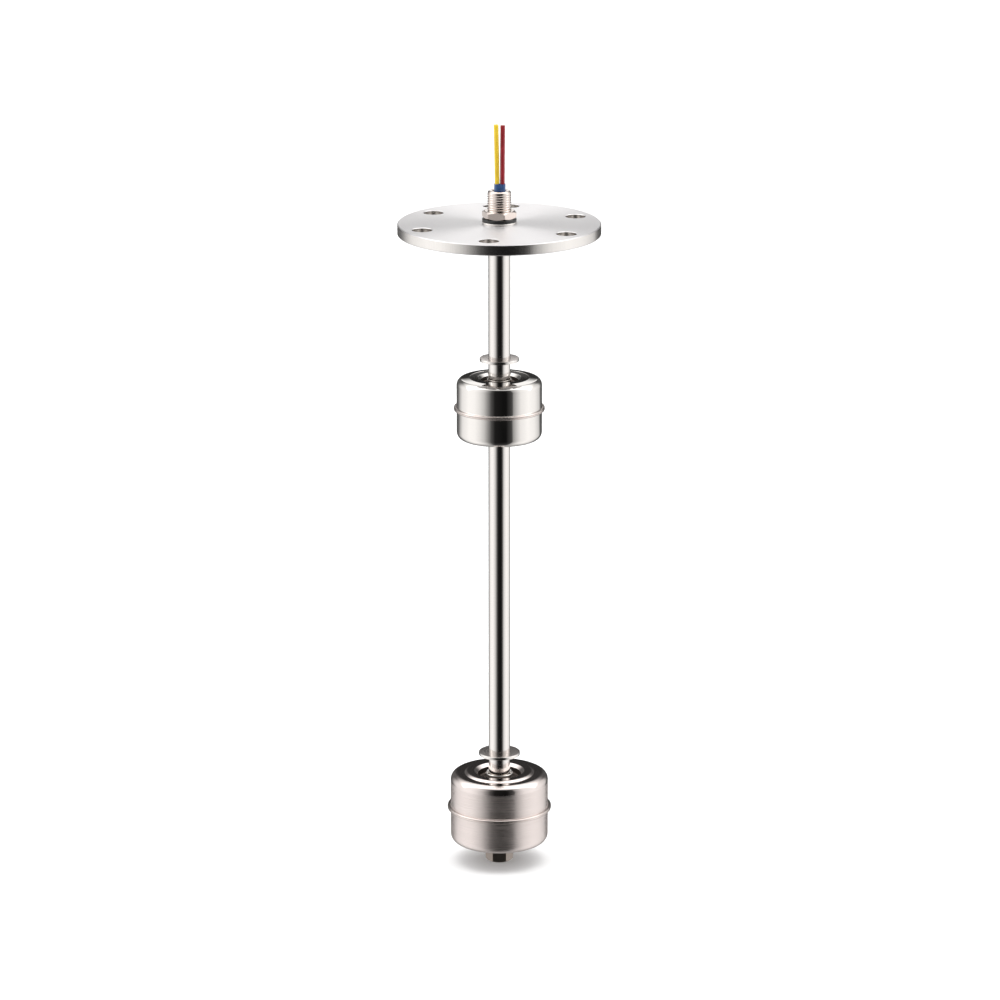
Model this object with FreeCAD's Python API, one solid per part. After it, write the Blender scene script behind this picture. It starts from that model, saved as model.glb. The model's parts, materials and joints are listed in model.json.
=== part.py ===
"""Float level switch with two floats on a flanged stem.

Millimetres. The origin is the centre of the flange's underside, which is the
face that sits on the tank. +Z runs up the stem axis towards the lead wires.
Each function below makes one kind of piece, and build_parts() lists them all.
"""
import FreeCAD
import Part

import math
import os
from types import SimpleNamespace

V = FreeCAD.Vector
UP = V(0, 0, 1)

# ---- fits and clearances ----
WELD_GAP = 0.03  # radial gap between pieces that are welded or pressed together
SCREW_GAP = 0.12  # radial gap around the head's thread
REST_GAP = 0.1  # below a float that rests on its low stop
STOP_GAP = 0.1  # above a float that is pushed up to its top stop
INNER_GAP = 0.3  # around the carrier strip inside the stem
WIRE_GAP = 0.05  # around a lead wire where something grips it

# ---- mounting flange ----
FLANGE_D = 116.8
FLANGE_T = 6.35
FLANGE_EDGE = 0.5
BOLT_COUNT = 6
BOLT_INSET = 10.775  # bolt centre from the flange's rim
BOLT_HOLE_D = 11.5
BOLT_FIRST_DEG = 23.0
HOLE_EDGE = 0.35
SPOT_FACE_D = 24.0  # shallow seat for the head's shoulder in the underside
SPOT_FACE_DEPTH = 0.5
VENT_HOLE_D = 7.5
VENT_FROM_BOLT_DEG = 14.0

# ---- threaded head: conduit nipple above the flange, hex shoulder below it ----
THREAD_D = 13.716
THREAD_TOOTH = 1.116
THREAD_PITCH_D = THREAD_D - THREAD_TOOTH  # the stretch inside the flange and the nut
THREAD_CHAMFER_R = 1.1
THREAD_CHAMFER_H = 1.9
HEAD_BORE_D = 7.5
HEAD_BORE_EDGE = 0.35
HEAD_RISE = 19.1  # nipple above the flange's top face
SHOULDER_AF = 19.05
SHOULDER_H = 6.0
SOCKET_BOSS_D = 16.5
SOCKET_BOSS_H = 3.0
SOCKET_DEPTH = 6.0

# ---- stack on the nipple ----
FLAT_WASHER_D = 20.0
FLAT_WASHER_T = 1.2
SEAL_D = 19.8
SEAL_T = 1.8
SEAL_ROUND = 0.5
NUT_AF = 17.46
NUT_H = 4.4
NUT_TURN_DEG = -16.6

# ---- stem ----
STEM_D = 12.7
STEM_WALL = 1.24

# ---- end plug ----
PLUG_AF = 14.3
PLUG_HEX_H = 12.3
PLUG_CORNER_R = 0.6
PLUG_SPIGOT_H = 8.0
HEX_FACE_SHARE = 0.96  # chamfer circle of a hexagon, as a share of its flats
CHAMFER_DEG = 30.0

# ---- stops on the stem ----
STOP_T = 1.75
STOP_EDGE = 0.2
HIDDEN_STOP_D = 20.0

# ---- floats ----
SHEET_T = 0.5
TUBE_BORE_GAP = 0.2  # radial play between a float's centre tube and the stem
TUBE_WALL = 0.35
TUBE_FLARE_R = 3.0
LOW_LIP_R = 7.1
LIP_DROP = 0.9  # end of the centre tube inside the end plane of the shells
STEP_R = 1.8  # two arcs of the step inside the crest
STEP_DROP = 1.0
WELL_EDGE_R = 1.5
WELL_FLOOR_R = 1.2
BEAD_HALF_H = 1.1
BEAD_ROUND = 0.8

MAGNET_H = 8.0
MAGNET_WALL = 4.5
MAGNET_EDGE = 0.4
MAGNET_GAP = 0.1
SEAT_H = 1.5
SEAT_WALL = 2.6
CLIP_T = 0.6
CLIP_WALL = 2.2

UPPER = SimpleNamespace(
    name="upper", level=-102.85, body_r=24.75, bead_r=26.35, half_h=18.3, shoulder_r=5.8,
    well_r=12.6, well_depth=2.5, lip_r=7.1, travel=10.6, stop_d=22.75,
)
LOWER = SimpleNamespace(
    name="lower", level=-346.5, body_r=28.8, bead_r=30.7, half_h=22.0, shoulder_r=6.85,
    well_r=14.8, well_depth=3.2, lip_r=8.05, travel=10.95, stop_d=24.3,
)

# ---- switches inside the stem ----
STRIP_T = 0.8
CAPSULE_D = 2.6
CAPSULE_L = 14.0
CAPSULE_WALL = 0.4
CAPSULE_ABOVE_BEAD = 7.0
BLADE_ROD_D = 0.6
BLADE_ROD_OUT = 6.0
BLADE_W = 1.3
BLADE_T = 0.25
BLADE_LAP = 1.6
BLADE_CONTACT_GAP = 0.2

# ---- lead wires, potting and sleeve ----
WIRE_D = 2.75
WIRE_SPACING = 2.9
POTTING_BELOW = 2.0  # underside of the potting, above the flange's underside
POTTING_TOP = 16.0
SLEEVE_WALL = 0.4
SLEEVE_SHIFT = 0.3
SLEEVE_TOP = 29.45
LINK_WIRE_D = 1.4

# routes of the free wires, from the potting to the cut ends
YELLOW_ROUTE = [V(-1.15, 0, POTTING_TOP), V(-1.15, 0, 34), V(-1.85, -0.7, 63.65)]
RED_ROUTE = [V(1.75, 0, POTTING_TOP), V(1.75, 0, 36), V(1.98, 0.6, 63.05)]

# ---- levels and radii that follow ----
BOLT_CIRCLE_D = FLANGE_D - 2 * BOLT_INSET
FLANGE_TOP = FLANGE_T
WASHER_TOP = FLANGE_TOP + FLAT_WASHER_T
SEAL_TOP = WASHER_TOP + SEAL_T
NUT_TOP = SEAL_TOP + NUT_H
HEAD_TOP = FLANGE_TOP + HEAD_RISE
HEAD_BOTTOM = SPOT_FACE_DEPTH - SHOULDER_H - SOCKET_BOSS_H
STEM_TOP = HEAD_BOTTOM + SOCKET_DEPTH
STEM_R = STEM_D / 2
STEM_BORE_R = STEM_R - STEM_WALL
THREAD_HOLE_R = THREAD_D / 2 + SCREW_GAP
NUT_HOLE_R = THREAD_PITCH_D / 2 + SCREW_GAP
TUBE_IN_R = STEM_R + TUBE_BORE_GAP
TUBE_OUT_R = TUBE_IN_R + TUBE_WALL


def seat_level(f):
    """Top of the stop that a float rests on."""
    return f.level - f.half_h + LIP_DROP - REST_GAP


def top_stop_level(f):
    """Underside of the stop above a float."""
    return f.level + f.half_h - LIP_DROP + f.travel + STOP_GAP


PLUG_TOP = seat_level(LOWER)
SPIGOT_TOP = PLUG_TOP + PLUG_SPIGOT_H


# ---- small helpers ----
def ring(outer_r, inner_r, z0, z1):
    """Plain ring about the stem axis."""
    body = Part.makeCylinder(outer_r, z1 - z0, V(0, 0, z0))
    return body.cut(Part.makeCylinder(inner_r, z1 - z0, V(0, 0, z0)))


def line(start, end):
    """Edge between two (radius, height) points."""
    return Part.LineSegment(V(start[0], 0, start[1]), V(end[0], 0, end[1])).toShape()


def on_circle(centre, radius, deg):
    a = math.radians(deg)
    return centre[0] + radius * math.cos(a), centre[1] + radius * math.sin(a)


def arc(centre, radius, start_deg, end_deg):
    """Edge along a circle in the (radius, height) plane."""
    points = [on_circle(centre, radius, d) for d in (start_deg, (start_deg + end_deg) / 2, end_deg)]
    return Part.Arc(*[V(r, 0, z) for r, z in points]).toShape()


def revolve(edges):
    """Turned solid from a closed outline."""
    face = Part.Face(Part.Wire(Part.__sortEdges__(edges)))
    return face.revolve(V(0, 0, 0), UP, 360)


def turned(points):
    """Turned solid from a closed polygon of (radius, height) points."""
    return revolve([line(a, b) for a, b in zip(points, points[1:] + points[:1])])


def hexagon(across_flats, height, z0, turn_deg):
    """Hexagonal prism with a corner at turn_deg from +X."""
    corner_r = across_flats / 2 / math.cos(math.radians(30))
    corners = [V(*on_circle((0, 0), corner_r, turn_deg + 60 * i), z0) for i in range(6)]
    return Part.Face(Part.makePolygon(corners + corners[:1])).extrude(UP * height)


def chamfer_blank(across_flats, z0, z1, low, high):
    """Turned blank that rounds off a hexagon's corners at its low or high face."""
    face_r = across_flats / 2 * HEX_FACE_SHARE
    wide_r = across_flats
    drop = (wide_r - face_r) * math.tan(math.radians(CHAMFER_DEG))
    points = [(0, z0), (face_r, z0), (wide_r, z0 + drop)] if low else [(0, z0), (wide_r, z0)]
    if high:
        top = [(wide_r, z1 - drop), (face_r, z1)]
        if low and z1 - z0 < 2 * drop:
            waist_r = face_r + (z1 - z0) / 2 / math.tan(math.radians(CHAMFER_DEG))
            points, top = [(0, z0), (face_r, z0)], [(waist_r, (z0 + z1) / 2), (face_r, z1)]
        points += top
    else:
        points += [(wide_r, z1)]
    return turned(points + [(0, z1)])


def tube_along(route, diameter, label):
    """Round tube through straight runs joined by tangent arcs as large as the runs allow."""
    edges, here = [], route[0]
    for before, corner, after in zip(route, route[1:], route[2:]):
        back, ahead = before - corner, after - corner
        shorter = min(back.Length, ahead.Length)
        half_turn = (math.pi - back.getAngle(ahead)) / 2
        setback = 0.45 * shorter
        back.normalize()
        ahead.normalize()
        start, end = corner + back * setback, corner + ahead * setback
        radius = setback / math.tan(half_turn)
        inward = (back + ahead).normalize()
        mid = corner + inward * (radius / math.cos(half_turn) - radius)
        edges += [Part.LineSegment(here, start).toShape(), Part.Arc(start, mid, end).toShape()]
        here = end
        print(f"{label}: bend radius {radius:.0f}")
    edges.append(Part.LineSegment(here, route[-1]).toShape())
    path = Part.Wire(edges)
    section = Part.Wire(Part.makeCircle(diameter / 2, route[0], route[1] - route[0]))
    tube = path.makePipeShell([section], True, False)
    plain = math.pi * diameter**2 / 4 * path.Length
    print(f"{label}: length {path.Length:.2f}, volume {tube.Volume:.2f}, section x length {plain:.2f}")
    return tube


# ---- flange and what is screwed to it ----
def bolt_hole(diameter, deg):
    """Through hole with a small chamfer at both mouths, on the bolt circle."""
    r, e = diameter / 2, HOLE_EDGE
    cutter = turned([(0, 0), (r + e, 0), (r, e), (r, FLANGE_T - e), (r + e, FLANGE_T), (0, FLANGE_T)])
    cutter.translate(V(*on_circle((0, 0), BOLT_CIRCLE_D / 2, deg), 0))
    return cutter


def mounting_flange():
    r, e, t = FLANGE_D / 2, FLANGE_EDGE, FLANGE_T
    bore, spot_r, spot_z = THREAD_HOLE_R, SPOT_FACE_D / 2, SPOT_FACE_DEPTH
    underside = [(bore, spot_z), (spot_r, spot_z), (spot_r, 0), (r - e, 0)]
    plate = turned(underside + [(r, e), (r, t - e), (r - e, t), (bore, t)])
    step = 360 / BOLT_COUNT
    holes = [bolt_hole(BOLT_HOLE_D, BOLT_FIRST_DEG + step * i) for i in range(BOLT_COUNT)]
    holes.append(bolt_hole(VENT_HOLE_D, BOLT_FIRST_DEG + step + VENT_FROM_BOLT_DEG))
    return plate.cut(holes)


def threaded_head():
    """Nipple, hex shoulder and stem socket, turned from one bar.

    The thread is a plain cylinder at its major diameter above the nut, and at
    its pitch diameter where the nut and the flange are around it.
    """
    r, bore, e = THREAD_D / 2, HEAD_BORE_D / 2, HEAD_BORE_EDGE
    shank_r, seat_z = THREAD_PITCH_D / 2, SPOT_FACE_DEPTH
    boss_r, socket_r = SOCKET_BOSS_D / 2, STEM_R + WELD_GAP
    nipple = turned([
        (bore, STEM_TOP), (socket_r, STEM_TOP), (socket_r, HEAD_BOTTOM), (boss_r, HEAD_BOTTOM),
        (boss_r, seat_z), (shank_r, seat_z), (shank_r, NUT_TOP), (r, NUT_TOP),
        (r, HEAD_TOP - THREAD_CHAMFER_H), (r - THREAD_CHAMFER_R, HEAD_TOP),
        (bore + e, HEAD_TOP), (bore, HEAD_TOP - e),
    ])
    low_z = seat_z - SHOULDER_H
    shoulder = hexagon(SHOULDER_AF, SHOULDER_H, low_z, 0)
    shoulder = shoulder.common(chamfer_blank(SHOULDER_AF, low_z, seat_z, True, False))
    shoulder = shoulder.cut(Part.makeCylinder((r + boss_r) / 2, SHOULDER_H, V(0, 0, low_z)))
    return nipple.fuse(shoulder).removeSplitter()


def head_flat_washer():
    return ring(FLAT_WASHER_D / 2, THREAD_HOLE_R, FLANGE_TOP, WASHER_TOP)


def head_seal_washer():
    """Moulded rubber washer with rounded outer edges."""
    seal = ring(SEAL_D / 2, THREAD_HOLE_R, WASHER_TOP, SEAL_TOP)
    rims = [e for e in seal.Edges if e.Closed and abs(e.Curve.Radius - SEAL_D / 2) < 1e-6]
    return seal.makeFillet(SEAL_ROUND, rims)


def head_jam_nut():
    nut = hexagon(NUT_AF, NUT_H, SEAL_TOP, NUT_TURN_DEG)
    nut = nut.common(chamfer_blank(NUT_AF, SEAL_TOP, NUT_TOP, True, True))
    return nut.cut(Part.makeCylinder(NUT_HOLE_R, NUT_H, V(0, 0, SEAL_TOP)))


def potting_plug():
    """Resin that seals the head's bore around the wires."""
    depth = POTTING_TOP - POTTING_BELOW
    return Part.makeCylinder(HEAD_BORE_D / 2 - WELD_GAP, depth, V(0, 0, POTTING_BELOW))


def obround(radius, z0, z1):
    """Prism with round ends that follows the two wires side by side."""
    half = WIRE_SPACING / 2
    box = Part.makeBox(WIRE_SPACING, 2 * radius, z1 - z0, V(-half, -radius, z0))
    ends = [Part.makeCylinder(radius, z1 - z0, V(x, 0, z0)) for x in (-half, half)]
    prism = box.fuse(ends).removeSplitter()
    prism.translate(V(SLEEVE_SHIFT, 0, 0))
    return prism


def wire_sleeve():
    inner_r = WIRE_D / 2 + WIRE_GAP
    outer = obround(inner_r + SLEEVE_WALL, POTTING_TOP, SLEEVE_TOP)
    return outer.cut(obround(inner_r, POTTING_TOP, SLEEVE_TOP))


# ---- stem ----
def stem_tube():
    return ring(STEM_R, STEM_BORE_R, PLUG_TOP, STEM_TOP)


def end_hex_plug():
    """Hex end with a spigot inside the stem; the lower float rests on it."""
    z0 = PLUG_TOP - PLUG_HEX_H
    plug = hexagon(PLUG_AF, PLUG_HEX_H, z0, 0)
    corners = [e for e in plug.Edges if abs(e.tangentAt(e.FirstParameter).z) > 0.99]
    plug = plug.makeFillet(PLUG_CORNER_R, corners)
    plug = plug.common(chamfer_blank(PLUG_AF, z0, PLUG_TOP, True, False))
    spigot = Part.makeCylinder(STEM_BORE_R - WELD_GAP, PLUG_SPIGOT_H, V(0, 0, PLUG_TOP))
    return plug.fuse(spigot).removeSplitter()


def stop_disc(diameter, z0):
    """Thin stop pressed on the stem, with broken outer edges."""
    r, e, bore = diameter / 2, STOP_EDGE, STEM_R + WELD_GAP
    z1 = z0 + STOP_T
    return turned([(bore, z0), (r - e, z0), (r, z0 + e), (r, z1 - e), (r - e, z1), (bore, z1)])


# ---- floats ----
def shell_skin(f, depth):
    """Outline of a half shell's skin at a depth below its outer surface.

    It runs from the hole at the centre tube, up the well, over the step and the
    crest and down the side wall. Height 0 is the bead's middle.
    """
    turn = math.degrees(math.acos(1 - STEP_DROP / 2 / STEP_R))
    run = 2 * STEP_R * math.sin(math.radians(turn))
    crest_r = f.body_r - f.shoulder_r
    shelf_r, shelf_z = crest_r - run, f.half_h - STEP_DROP
    floor_z = shelf_z - f.well_depth
    well_corner = (f.well_r - WELL_FLOOR_R, floor_z + WELL_FLOOR_R)
    well_edge = (f.well_r + WELL_EDGE_R, shelf_z - WELL_EDGE_R)
    hole_r = TUBE_OUT_R + WELD_GAP
    return [
        line((hole_r, floor_z - depth), (well_corner[0], floor_z - depth)),
        arc(well_corner, WELL_FLOOR_R + depth, -90, 0),
        line((f.well_r + depth, well_corner[1]), (f.well_r + depth, well_edge[1])),
        arc(well_edge, WELL_EDGE_R - depth, 180, 90),
        line((well_edge[0], shelf_z - depth), (shelf_r, shelf_z - depth)),
        arc((shelf_r, shelf_z + STEP_R), STEP_R + depth, -90, turn - 90),
        arc((crest_r, f.half_h - STEP_R), STEP_R - depth, 90 + turn, 90),
        arc((crest_r, f.half_h - f.shoulder_r), f.shoulder_r - depth, 90, 0),
    ]


def half_shell(f):
    """Deep-drawn half of a float, with half of the rolled bead at its rim."""
    outer, inner = shell_skin(f, 0), shell_skin(f, SHEET_T)
    hole_r = TUBE_OUT_R + WELD_GAP
    floor_z = f.half_h - STEP_DROP - f.well_depth
    side_z = f.half_h - f.shoulder_r
    round_c = (f.bead_r - BEAD_ROUND, BEAD_HALF_H - BEAD_ROUND)
    bead = [
        line((f.body_r, side_z), (f.body_r, BEAD_HALF_H)),
        line((f.body_r, BEAD_HALF_H), (round_c[0], BEAD_HALF_H)),
        arc(round_c, BEAD_ROUND, 90, 0),
        line((f.bead_r, round_c[1]), (f.bead_r, 0)),
        line((f.bead_r, 0), (f.body_r - SHEET_T, 0)),
        line((f.body_r - SHEET_T, 0), (f.body_r - SHEET_T, side_z)),
    ]
    hole = [line((hole_r, floor_z - SHEET_T), (hole_r, floor_z))]
    return revolve(outer + bead + inner + hole)


def top_shell(f):
    shell = half_shell(f)
    shell.translate(V(0, 0, f.level))
    return shell


def bottom_shell(f):
    shell = half_shell(f)
    shell.rotate(V(0, 0, 0), V(1, 0, 0), 180)
    shell.translate(V(0, 0, f.level))
    return shell


def flare(lip_r, end_z):
    """Flared end of a centre tube: its outline above the plain tube, and where that starts."""
    turn = math.degrees(math.acos(1 - (lip_r - TUBE_OUT_R) / TUBE_FLARE_R))
    inner_flare_r = TUBE_FLARE_R + TUBE_WALL
    start_z = end_z - inner_flare_r * math.sin(math.radians(turn))
    centre = (TUBE_OUT_R + TUBE_FLARE_R, start_z)
    outer = arc(centre, TUBE_FLARE_R, 180, 180 - turn)
    inner = arc(centre, inner_flare_r, 180 - turn, 180)
    tip = line(on_circle(centre, TUBE_FLARE_R, 180 - turn), on_circle(centre, inner_flare_r, 180 - turn))
    return [outer, tip, inner], start_z


def tube_half(lip_r, end_z):
    """Centre tube from its middle to one flared end."""
    flared, start_z = flare(lip_r, end_z)
    sides = [line((TUBE_OUT_R, 0), (TUBE_OUT_R, start_z)), line((TUBE_IN_R, start_z), (TUBE_IN_R, 0))]
    return revolve(flared + sides + [line((TUBE_IN_R, 0), (TUBE_OUT_R, 0))])


def centre_tube(f):
    """Tube that the float slides on, flared over the well at its top end."""
    end_z = f.half_h - LIP_DROP
    low = tube_half(LOW_LIP_R, end_z)
    low.rotate(V(0, 0, 0), V(1, 0, 0), 180)
    tube = tube_half(f.lip_r, end_z).fuse(low).removeSplitter()
    tube.translate(V(0, 0, f.level))
    return tube


def magnet_seat(f):
    """Ring pressed on the centre tube under the magnet."""
    z1 = f.level - MAGNET_H / 2
    inner_r = TUBE_OUT_R + WELD_GAP
    return ring(inner_r + SEAT_WALL, inner_r, z1 - SEAT_H, z1)


def float_magnet(f):
    """Ring magnet that works the switch inside the stem."""
    z0, z1 = f.level - MAGNET_H / 2, f.level + MAGNET_H / 2
    inner_r, e = TUBE_OUT_R + MAGNET_GAP, MAGNET_EDGE
    r = inner_r + MAGNET_WALL
    return turned([(inner_r, z0), (r - e, z0), (r, z0 + e), (r, z1 - e), (r - e, z1), (inner_r, z1)])


def magnet_clip(f):
    """Push-on washer that holds the magnet down on its seat."""
    z0 = f.level + MAGNET_H / 2
    inner_r = TUBE_OUT_R + WELD_GAP
    return ring(inner_r + CLIP_WALL, inner_r, z0, z0 + CLIP_T)


# ---- switches inside the stem ----
CAPSULE_Y = -(STRIP_T / 2 + WIRE_GAP + CAPSULE_D / 2)
LEAD_Y = STRIP_T / 2 + WIRE_GAP + WIRE_D / 2
LINK_Y = STRIP_T / 2 + WIRE_GAP + LINK_WIRE_D / 2


def switch_level(f):
    return f.level + CAPSULE_ABOVE_BEAD


def carrier_strip():
    """Board that carries both switches down the stem and stands on the end plug."""
    top = STEM_TOP - INNER_GAP
    half_w = math.sqrt((STEM_BORE_R - INNER_GAP) ** 2 - (STRIP_T / 2) ** 2)
    corner = V(-half_w, -STRIP_T / 2, SPIGOT_TOP)
    return Part.makeBox(2 * half_w, STRIP_T, top - SPIGOT_TOP, corner)


def reed_capsule(f):
    """Sealed glass tube with domed ends and a hollow for the blades."""
    r, half = CAPSULE_D / 2, CAPSULE_L / 2
    ri, rod = r - CAPSULE_WALL, BLADE_ROD_D / 2
    glass = revolve([
        line((rod, -half), (rod, ri - half)),
        line((rod, ri - half), (ri, ri - half)),
        line((ri, ri - half), (ri, half - ri)),
        line((ri, half - ri), (rod, half - ri)),
        line((rod, half - ri), (rod, half)),
        arc((rod, half - (r - rod)), r - rod, 90, 0),
        line((r, half - (r - rod)), (r, (r - rod) - half)),
        arc((rod, (r - rod) - half), r - rod, 0, -90),
    ])
    glass.translate(V(0, CAPSULE_Y, switch_level(f)))
    return glass


def reed_blade(f, side):
    """One contact blade: a round rod through the glass and a flat tongue inside it.

    side is 1 for the blade that enters from above and -1 for the one from below.
    """
    half = CAPSULE_L / 2
    ri = CAPSULE_D / 2 - CAPSULE_WALL
    tongue_l = half - ri + BLADE_LAP / 2
    rod = Part.makeCylinder(BLADE_ROD_D / 2, ri + BLADE_ROD_OUT, V(0, 0, half - ri))
    tongue_y = (BLADE_CONTACT_GAP + BLADE_T) / 2
    tongue = Part.makeBox(BLADE_W, BLADE_T, tongue_l, V(-BLADE_W / 2, tongue_y - BLADE_T / 2, -BLADE_LAP / 2))
    blade = rod.fuse(tongue).removeSplitter()
    if side < 0:
        blade.rotate(V(0, 0, 0), V(1, 0, 0), 180)
    blade.translate(V(0, CAPSULE_Y, switch_level(f)))
    return blade


def inner_lead(x, end_level):
    """Insulated wire from the potting down the back of the strip."""
    return Part.makeCylinder(WIRE_D / 2, POTTING_BELOW - end_level, V(x, LEAD_Y, end_level))


def link_wire():
    """Wire that joins the two switches."""
    z0 = switch_level(LOWER) + CAPSULE_L / 2
    z1 = switch_level(UPPER) - CAPSULE_L / 2
    return Part.makeCylinder(LINK_WIRE_D / 2, z1 - z0, V(-WIRE_SPACING / 2, LINK_Y, z0))


def build_parts():
    """All pieces, by node name."""
    parts = {
        "mounting_flange": mounting_flange(),
        "threaded_head": threaded_head(),
        "head_flat_washer": head_flat_washer(),
        "head_seal_washer": head_seal_washer(),
        "head_jam_nut": head_jam_nut(),
        "potting_plug": potting_plug(),
        "wire_sleeve": wire_sleeve(),
        "lead_wire_yellow": tube_along(YELLOW_ROUTE, WIRE_D, "yellow wire"),
        "lead_wire_red": tube_along(RED_ROUTE, WIRE_D, "red wire"),
        "stem_tube": stem_tube(),
        "end_hex_plug": end_hex_plug(),
        "upper_float_low_stop": stop_disc(HIDDEN_STOP_D, seat_level(UPPER) - STOP_T),
        "switch_carrier_strip": carrier_strip(),
        "inner_lead_yellow": inner_lead(-WIRE_SPACING / 2, switch_level(UPPER) + CAPSULE_L / 2),
        "inner_lead_red": inner_lead(WIRE_SPACING / 2, switch_level(LOWER) + CAPSULE_L / 2),
        "switch_link_wire": link_wire(),
    }
    for f in (UPPER, LOWER):
        parts[f"{f.name}_float_top_stop"] = stop_disc(f.stop_d, top_stop_level(f))
        parts[f"{f.name}_float_top_shell"] = top_shell(f)
        parts[f"{f.name}_float_bottom_shell"] = bottom_shell(f)
        parts[f"{f.name}_float_centre_tube"] = centre_tube(f)
        parts[f"{f.name}_float_magnet"] = float_magnet(f)
        parts[f"{f.name}_float_magnet_seat"] = magnet_seat(f)
        parts[f"{f.name}_float_magnet_clip"] = magnet_clip(f)
        parts[f"{f.name}_reed_capsule"] = reed_capsule(f)
        parts[f"{f.name}_reed_top_blade"] = reed_blade(f, 1)
        parts[f"{f.name}_reed_low_blade"] = reed_blade(f, -1)
    return parts


os.makedirs("parts", exist_ok=True)
for name, shape in build_parts().items():
    if not shape.isValid() or len(shape.Solids) != 1:
        print(f"{name}: check this piece, solids {len(shape.Solids)}, valid {shape.isValid()}")
    shape.exportStep(f"parts/{name}.step")
    box = shape.BoundBox
    print(f"{name}: volume {shape.Volume:.1f}, z {box.ZMin:.2f} to {box.ZMax:.2f}")
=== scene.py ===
# %% [markdown]
# # A float level switch, dressed for the camera
# The switch is a flanged steel stem with two hollow floats that slide on it.
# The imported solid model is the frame: it says where every piece is, how big it
# is and what moves. This script replaces the shiny pieces with smooth meshes,
# because a mirror finish shows every flat facet of a plain solid, and gives
# each remaining piece its own finish. Lengths below are in millimetres and are
# turned to Blender's metres in one place.

# %% Load the frame
import json
import math

import bmesh
import bpy
from mathutils import Matrix, Vector


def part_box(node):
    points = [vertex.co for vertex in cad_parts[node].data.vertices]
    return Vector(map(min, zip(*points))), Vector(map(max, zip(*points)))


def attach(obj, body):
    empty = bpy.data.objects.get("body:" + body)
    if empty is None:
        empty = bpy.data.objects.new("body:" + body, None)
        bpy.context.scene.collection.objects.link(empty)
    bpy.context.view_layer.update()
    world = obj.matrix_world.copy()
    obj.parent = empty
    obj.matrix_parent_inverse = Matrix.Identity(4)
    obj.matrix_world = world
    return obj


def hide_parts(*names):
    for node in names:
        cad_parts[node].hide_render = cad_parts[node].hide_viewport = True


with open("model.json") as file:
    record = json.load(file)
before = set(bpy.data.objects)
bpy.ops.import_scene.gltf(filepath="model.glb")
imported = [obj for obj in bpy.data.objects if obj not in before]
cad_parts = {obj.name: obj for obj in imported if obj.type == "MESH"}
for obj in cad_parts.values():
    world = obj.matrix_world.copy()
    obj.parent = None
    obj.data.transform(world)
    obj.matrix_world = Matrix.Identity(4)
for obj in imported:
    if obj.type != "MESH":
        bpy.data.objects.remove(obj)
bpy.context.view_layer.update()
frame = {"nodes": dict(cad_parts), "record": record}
MM = 0.001


def span(node):
    """Largest radius, bottom and top of a node that is centred on the stem, in mm."""
    low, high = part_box(node)
    return high.x / MM, low.z / MM, high.z / MM


FLANGE_R, FLANGE_LOW, FLANGE_TOP = span("mounting_flange")
HEAD_TOP = span("threaded_head")[2]
STEM_R, STEM_LOW, STEM_TOP = span("stem_tube")
PLUG_LOW = span("end_hex_plug")[1]
print("flange radius", round(FLANGE_R, 2), "stem radius", round(STEM_R, 3))

# %% [markdown]
# ## The camera
# The switch is tall and thin, so it is seen from far away through a long lens,
# which keeps the stem's sides parallel. The camera looks sixteen degrees down,
# enough to show the flange's top and the rings inside the floats.

# %% Camera
LENS_MM = 160.3
SENSOR_MM = 36.0
CAMERA_DOWN_DEG = 15.75
CAMERA_AT = Vector((0.4, -2494.3, 545.2))

camera_data = bpy.data.cameras.new("switch_camera")
camera_data.lens = LENS_MM
camera_data.sensor_width = SENSOR_MM
camera_data.clip_end = 30.0
camera = bpy.data.objects.new("switch_camera", camera_data)
camera.location = CAMERA_AT * MM
camera.rotation_euler = (math.radians(90.0 - CAMERA_DOWN_DEG), 0.0, 0.0)
bpy.context.scene.collection.objects.link(camera)
bpy.context.scene.camera = camera
print("camera in metres:", [round(v, 3) for v in camera.location])

# %% [markdown]
# ## Colours and nodes
# Finish colours are easy to read as sRGB hex values, but the renderer counts in
# linear light, so one function turns one into the other. A second function
# adds a node, sets it and links it in one line, which keeps a material short
# enough to read from top to bottom.

# %% Helpers for finishes


def linear(hex_colour):
    """Linear RGBA of an sRGB hex colour such as #D8D2CC."""
    channels = [int(hex_colour[i:i + 2], 16) / 255 for i in (1, 3, 5)]
    return [c / 12.92 if c <= 0.04045 else ((c + 0.055) / 1.055) ** 2.4 for c in channels] + [1.0]


def add_node(tree, kind, inputs=None, **settings):
    """Adds a node; an input that is a socket is linked, any other is a value."""
    node = tree.nodes.new(kind)
    for key, value in settings.items():
        setattr(node, key, value)
    for key, value in (inputs or {}).items():
        if isinstance(value, bpy.types.NodeSocket):
            tree.links.new(value, node.inputs[key])
        else:
            node.inputs[key].default_value = value
    return node


def new_finish(name):
    """An empty material: its tree, its main shader and the piece's own coordinates."""
    finish = bpy.data.materials.new(name)
    finish.use_nodes = True
    tree = finish.node_tree
    tree.nodes.clear()
    shader = add_node(tree, "ShaderNodeBsdfPrincipled")
    add_node(tree, "ShaderNodeOutputMaterial", {"Surface": shader.outputs["BSDF"]})
    place = add_node(tree, "ShaderNodeTexCoord").outputs["Object"]
    return finish, tree, shader, place


def set_ramp(ramp_node, stops):
    """Sets a colour ramp's stops from (position, grey or colour) pairs."""
    ramp = ramp_node.color_ramp
    while len(ramp.elements) < len(stops):
        ramp.elements.new(1.0)
    for element, (position, value) in zip(ramp.elements, stops):
        element.position = position
        element.color = value if isinstance(value, list) else [value] * 3 + [1.0]


# %% [markdown]
# ## Stainless steel, finished five ways
# Every metal piece is stainless steel of the 300 series, so they all share one
# warm grey reflection. What differs is how the surface was worked: the floats
# are polished or satin finished, the flange is faced in a lathe and its rim is
# ground, and the head and end plug are machined from hexagonal bar. Tool marks
# follow the cut, so each pattern is a noise along one direction: along the
# profile for turned pieces, and around the axis for lines ground along it.
# Two of them also carry painted shade in their colour: the steel of the floats'
# wells and the steel of the end plug are darker than the rest.

# %% Stainless steel


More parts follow.
